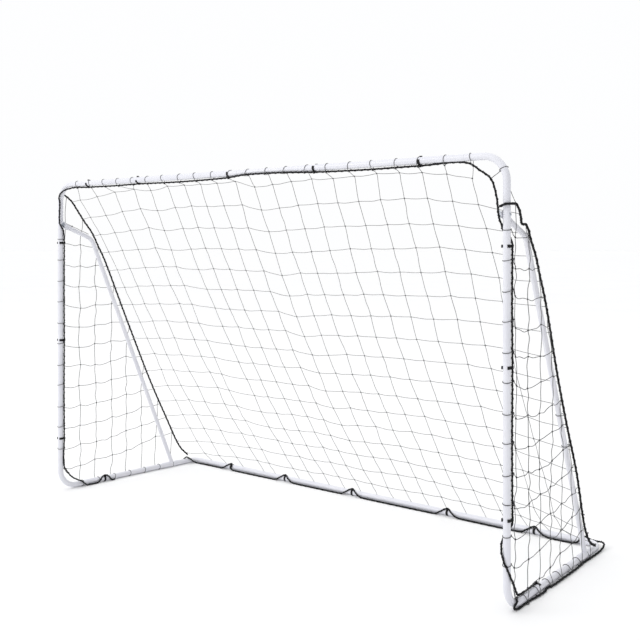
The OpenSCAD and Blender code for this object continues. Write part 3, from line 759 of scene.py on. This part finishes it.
def make_net_back():
    """The back of the net: loops on the crossbar, columns, rows and the tied edge."""
    twines = Strands()
    knots = Strands()
    places = {}
    for i in range(BACK_COLUMNS):
        for j in range(BACK_ROWS):
            s = FIRST_ROW + j * ROW_PITCH
            x = column_x(i, s)
            if x < edge_x(-1, s) + ROPE_CLEAR or x > edge_x(1, s) - ROPE_CLEAR:
                continue
            places[i, j] = on_slope(x, row_s(j, x), rng.uniform(-0.003, 0.003)) + np.array(
                [rng.uniform(-0.003, 0.003), 0, rng.uniform(-0.0015, 0.0015)]
            )

    # Loops round the crossbar and its rope
    lowest = []
    for k in range(BACK_LOOPS):
        x = loop_x(k) + rng.uniform(-0.004, 0.004)
        rope_y, rope_z = crossbar_rope_at(x)
        lean = rng.uniform(-0.25, 0.25)
        loop = loop_round(
            np.array([x, MOUTH_Y, BAR_Z]), np.array([lean * 0.3, 1, 0]), np.array([lean, 0, 1.0]),
            [(0, 0, LOOP_R), (rope_y, rope_z, ROPE_LOOP_R)],
        )
        twines.add(loop, TWINE_R, closed=True)
        lowest.append(loop[np.argmin(loop[:, 2] - 0.6 * loop[:, 1])])
        add_knot(knots, lowest[k], np.array([1.0, 0, 0]))

    # Columns from the loops down to the rear bar and over it
    bar_y = MOUTH_Y + DEPTH
    foot_y = bar_y + LOOP_R + FOOT_GAP
    foot_z = RAIL_Z - FOOT_BELOW
    for i in range(BACK_COLUMNS):
        column = [places[i, j] for j in range(BACK_ROWS) if (i, j) in places]
        first, *others = column_loops(i)
        for k in others:
            add_twine(twines, [lowest[k], column[0]], 0, 0.001, BACK_TWINE_R)
        foot = np.array([column[-1][0], foot_y, foot_z])
        over_bar = [
            np.array([foot[0], bar_y + LOOP_R * math.cos(t), RAIL_Z + LOOP_R * math.sin(t)])
            for t in OVER_BAR
        ]
        add_twine(twines, [lowest[first]] + column + over_bar[:1], 0.0006, 0.0013, BACK_TWINE_R)
        twines.add(smooth_line(over_bar + [foot], LOOP_STEP), BACK_TWINE_R)
        add_knot(knots, foot, np.array([1.0, 0, 0]))

    # Rows from corner rope to corner rope
    for j in range(BACK_ROWS):
        s = FIRST_ROW + j * ROW_PITCH
        row = [places[i, j] for i in range(BACK_COLUMNS) if (i, j) in places]
        for place in row:
            add_knot(knots, place, DOWN + np.array([rng.uniform(-0.6, 0.6), 0, 0]), BACK_KNOT_R)
        for side in (-1, 1):
            end_s = row_s(j, edge_x(side, s))
            if end_s < SEAMS[side][0, 0]:
                continue
            end = on_slope(edge_x(side, end_s), end_s)
            row = [end] + row if side < 0 else row + [end]
            add_knot(knots, end, DOWN)
        add_twine(twines, row, 0.0018, 0.0011, BACK_TWINE_R)

    # The last twine, tied along the back of the rear bar
    half = HALF_W - 0.11
    edge = [np.array([x, foot_y, foot_z + 0.001 * math.sin(40 * x)])
            for x in np.linspace(-half, half, 60)]
    twines.add(smooth_line(edge, 0.02), TWINE_R)
    twines.make("net_back_twine", PALE_TWINE, ["net_back"])
    knots.make("net_back_knots", PALE_TWINE)


make_net_back()


# ---------------------------------------------------------------- the sides of the net

SIDE_COLUMNS = 8
SIDE_COLUMN_A = 0.027
SIDE_COLUMN_PITCH = 0.0935
SIDE_OUT = -(TUBE_R + 0.005)
LOWEST_POST_LOOP = 0.12
# Where the lowest row is tied to the mouth rope, below the posts
FOOT_TIE = {-1: (0.040, 0.012, 0.075), 1: (0.070, 0.003, 0.052)}
# Height of the top row, pitch and number of the rows
SIDE_ROWS = {-1: (1.206, 0.101, 12), 1: (1.226, 0.0983, 13)}
# No row ends further back, no column stands further back, no rail loop stands further forward
LAST_ROW_END = 0.74
LAST_COLUMN_A = 0.70
FIRST_RAIL_LOOP_A = 0.11


def seam_z(side, a):
    """Height of the corner rope."""
    line = seam_line(side)
    return float(np.interp(a, line[:, 0], line[:, 2]))


def side_row_z(side, k, a):
    """Height of a row: the upper rows droop to the back, the lower ones are pulled up there."""
    top, pitch, _ = SIDE_ROWS[side]
    z = top - k * pitch
    reach = max(0.12, min(0.62, (1.45 - z) * 0.43))
    slack = 0.015 * math.sin(math.pi * min(1.0, a / reach))
    return z + a * (0.15 - 0.22 * z) - slack + 0.003 * math.sin(23 * a + 3 * k)


def row_end(side, k):
    """Distance behind the post at which a row meets the corner rope."""
    for a in np.arange(0.04, LAST_ROW_END, 0.002):
        if side_row_z(side, k, a) >= seam_z(side, a) - 0.002:
            return float(a)
    return LAST_ROW_END


def out_at(a, z):
    """The side of the net bellies out a little, more towards its middle."""
    belly = 0.006 * math.sin(math.pi * min(1, a / 0.6)) * math.sin(math.pi * min(1, z / 1.3))
    return SIDE_OUT - belly + 0.002 * math.sin(19 * a + 7 * z)


def net_place(side, a, z):
    """Place of a knot in the side of the net, a little off its mark."""
    return on_side(side, a + rng.uniform(-0.006, 0.006), out_at(a, z), z + rng.uniform(-0.004, 0.004))


def seam_place(side, a):
    """Place on the corner rope."""
    line = seam_line(side)
    b = float(np.interp(a, line[:, 0], line[:, 1]))
    return on_side(side, a, b, seam_z(side, a))


def post_rope_at(side, z):
    """The mouth rope beside a post at a height, as (a, b), or None where it isn't near the post."""
    route = np.array(LEFT_POST_ROUTE if side < 0 else RIGHT_POST_ROUTE[:9], float)
    route = route[np.argsort(route[:, 2])]
    if not route[0, 2] <= z <= route[-1, 2]:
        return None
    return float(np.interp(z, route[:, 2], route[:, 0])), float(np.interp(z, route[:, 2], route[:, 1]))


def side_directions(side):
    """Unit directions back along the rail and inwards."""
    origin = on_side(side, 0, 0, 0)
    return unit(on_side(side, 1, 0, 0) - origin), unit(on_side(side, 0, 1, 0) - origin)


def make_net_side(side, name):
    """One side of the net; its pieces and the CAD node that they replace share the name."""
    twines = Strands()
    knots = Strands()
    back, inwards = side_directions(side)
    _, _, rows = SIDE_ROWS[side]
    ends = [row_end(side, k) for k in range(rows)]
    places = {}
    for k in range(rows):
        for i in range(SIDE_COLUMNS):
            a = SIDE_COLUMN_A + i * SIDE_COLUMN_PITCH
            if a < ends[k] - 0.03:
                places[i, k] = net_place(side, a, side_row_z(side, k, a))

    # A loop round the post and its rope for each row, then the row to the corner rope
    for k in range(rows):
        z = side_row_z(side, k, 0) + 0.012
        rope = post_rope_at(side, z)
        circles = [(0, 0, LOOP_R)] + ([(rope[0], rope[1], ROPE_LOOP_R)] if rope else [])
        tilt = rng.uniform(0.10, 0.28)
        loop = loop_round(
            on_side(side, 0, 0, z), back + np.array([0, 0, tilt]),
            inwards + np.array([0, 0, rng.uniform(-0.15, 0.15)]), circles,
        )
        if z > LOWEST_POST_LOOP:
            twines.add(loop, TWINE_R, closed=True)
            start = loop[np.argmax(loop @ back - loop @ inwards)]
        else:
            start = on_side(side, *FOOT_TIE[side])
        end = seam_place(side, ends[k])
        line = [start] + [places[i, k] for i in range(SIDE_COLUMNS) if (i, k) in places] + [end]
        add_twine(twines, line, 0.0045, 0.0035)
        add_knot(knots, start, back)
        add_knot(knots, end, np.array([0, 0, 1.0]))

    # Columns from the corner rope down to a loop round the rail
    for i in range(SIDE_COLUMNS):
        a = SIDE_COLUMN_A + i * SIDE_COLUMN_PITCH
        if not seam_line(side)[0, 0] - 0.01 <= a <= LAST_COLUMN_A:
            continue
        line = [seam_place(side, a)] if seam_z(side, a) > RAIL_Z + 0.06 else []
        line += [places[i, k] for k in range(rows) if (i, k) in places]
        if a > FIRST_RAIL_LOOP_A:
            loop = above_ground(loop_round(
                on_side(side, a, 0, RAIL_Z), inwards + back * rng.uniform(-0.2, 0.2),
                np.array([0, 0, 1.0]) + back * rng.uniform(-0.2, 0.2),
                [(0, 0, LOOP_R), (-0.019, 0.004 - RAIL_Z, ROPE_LOOP_R)],
            ), TWINE_R)
            twines.add(loop, TWINE_R, closed=True)
            foot = loop[np.argmax(loop[:, 2] * 0.6 - loop @ inwards)]
            line.append(foot)
            add_knot(knots, foot, back)
        if len(line) > 1:
            add_twine(twines, line, 0.0, 0.0045)
    for (i, k), place in places.items():
        add_knot(knots, place, np.array([0, 0, 1.0]) + back * rng.uniform(-0.6, 0.6))
    twines.make(name + "_twine", TWINE, [name])
    knots.make(name + "_knots", TWINE)


make_net_side(-1, "net_left")
make_net_side(1, "net_right")


# ---------------------------------------------------------------- other ties

BEND_R = 0.085
BEND_TURN = math.radians(29)
BRACE_TIES_Z = (0.46, 0.58)
BRACE_KNOT_R = 0.0016


def brace_at(z):
    """Middle of the brace's lower arm at a height, as (a, b)."""
    a = BRACE_BEND_A + (BRACE_BEND_Z - z) / (BRACE_BEND_Z - RAIL_Z) * (BRACE_FOOT_A - BRACE_BEND_A)
    return a, BRACE_INSIDE * (1 - a / BRACE_FOOT_A)


def make_ties():
    """The loose twines that tie the net and the ropes to the frame."""
    ties = Strands()
    # A ring round the bend above the right post, with a tail to the rope and to the post's top
    radial = np.array([math.cos(BEND_TURN), 0, math.sin(BEND_TURN)])
    at = np.array([HALF_W - BEND_R, MOUTH_Y, BAR_Z - BEND_R]) + BEND_R * radial
    ties.add(loop_round(at, radial, np.array([0.2, 1.0, 0]), [(0, 0, LOOP_R)]), TWINE_R, closed=True)
    ring_foot = at - radial * LOOP_R
    rope = np.array([1.152, MOUTH_Y - 0.004, 1.404])
    add_twine(ties, [ring_foot, rope], 0.0, 0.001)
    behind = [on_side(1, *place) for place in ((0.0140, 0.004, 1.385), (0.0300, -0.0170, 1.326))]
    add_twine(ties, behind, 0.0, 0.001, LASH_R)
    add_knot(ties, ring_foot, radial)
    # A twine along the upper arm of the left brace, with a knot on it
    arm = [on_side(-1, a, BRACE_INSIDE * (1 - a / BRACE_FOOT_A), z)
           for a, z in ((0.022, 1.2935), (0.055, 1.2800), (0.095, 1.2645), (0.150, 1.2420))]
    add_twine(ties, arm, 0.0, 0.0006)
    add_knot(ties, arm[1], np.array([1.0, 0, 0.3]), BRACE_KNOT_R)
    # Loops round the right brace, where two rows are tied to it
    back, inwards = side_directions(1)
    lean = unit(0.92 * back + np.array([0, 0, 0.39]))
    for z in BRACE_TIES_Z:
        a, b = brace_at(z)
        circles = [(0, 0, BRACE_R + TWINE_R), (SIDE_OUT - b, 0, TWINE_R)]
        loop = loop_round(on_side(1, a, b, z), inwards, lean, circles)
        ties.add(loop, TWINE_R, closed=True)
    ties.make("net_ties", TWINE)


make_ties()


# ---------------------------------------------------------------- floor, world and lights


FLOOR_HALF = 400
FLOOR_Z = -0.0005


def make_floor():
    """A plain pale floor that reaches the horizon."""
    mesh = bpy.data.meshes.new("floor")
    corners = [(x * FLOOR_HALF, y * FLOOR_HALF, 0) for x, y in ((-1, -1), (1, -1), (1, 1), (-1, 1))]
    mesh.from_pydata(corners, [], [(0, 1, 2, 3)])
    m = Nodes("floor_paint")
    m.set(Base_Color=m.ramp(m.noise(0.6), [(0.3, (0.915, 0.915, 0.915)), (0.7, (0.93, 0.93, 0.93))]))
    m.set(Roughness=0.9)
    m.shader.inputs["Specular IOR Level"].default_value = 0.1
    mesh.materials.append(m.material)
    floor = bpy.data.objects.new("floor", mesh)
    floor.location.z = FLOOR_Z
    bpy.context.scene.collection.objects.link(floor)


# Brightness of the surround above, beyond the goal and at either hand, as the camera looks
ABOVE = 1.27
BEYOND = 1.0
LEFT = 0.80
RIGHT = 0.30


def make_world():
    """Soft studio surround: bright above and beyond the goal, dimmer on the right-hand side."""
    world = bpy.data.worlds.new("studio")
    world.use_nodes = True
    tree = world.node_tree
    background = tree.nodes["Background"]
    direction = tree.nodes.new("ShaderNodeTexCoord").outputs["Generated"]

    def share(axis, low, high):
        """From 0 to 1 as the direction turns towards an axis."""
        dot = tree.nodes.new("ShaderNodeVectorMath")
        dot.operation = "DOT_PRODUCT"
        dot.inputs[1].default_value = axis
        tree.links.new(direction, dot.inputs[0])
        span = tree.nodes.new("ShaderNodeMapRange")
        span.interpolation_type = "SMOOTHSTEP"
        span.inputs["From Min"].default_value = low
        span.inputs["From Max"].default_value = high
        tree.links.new(dot.outputs["Value"], span.inputs["Value"])
        return span.outputs["Result"]

    def mix(factor, low, high):
        node = tree.nodes.new("ShaderNodeMix")
        tree.links.new(factor, node.inputs["Factor"])
        for socket, value in ((2, low), (3, high)):
            if hasattr(value, "links"):
                tree.links.new(value, node.inputs[socket])
            else:
                node.inputs[socket].default_value = value
        return node.outputs[0]

    turn = math.radians(CAMERA_TURN)
    beyond = share((-math.sin(turn), math.cos(turn), 0), 0.55, 0.88)
    left = share((-math.cos(turn), -math.sin(turn), 0), -0.8, 0.8)
    above = share((0, 0, 1), 0.30, 0.75)
    strength = mix(above, mix(beyond, mix(left, RIGHT, LEFT), BEYOND), ABOVE)
    tree.links.new(strength, background.inputs["Strength"])
    background.inputs["Color"].default_value = (0.99, 0.993, 1.0, 1)
    bpy.context.scene.world = world


def make_light(name, at, aim, size, power, colour):
    """A rectangular light at a place, aimed at another."""
    data = bpy.data.lights.new(name, "AREA")
    data.shape = "RECTANGLE"
    data.size, data.size_y = size
    data.energy = power
    data.color = colour
    light = bpy.data.objects.new(name, data)
    light.location = at
    light.rotation_euler = (Vector(aim) - Vector(at)).to_track_quat("-Z", "Y").to_euler()
    bpy.context.scene.collection.objects.link(light)


make_floor()
make_world()
make_light("front_left_soft", (-5.0, -7.5, 5.0), (0, 0, 0.6), (4, 3), 190, (1.0, 0.995, 0.985))
bpy.context.scene.view_settings.view_transform = "Standard"
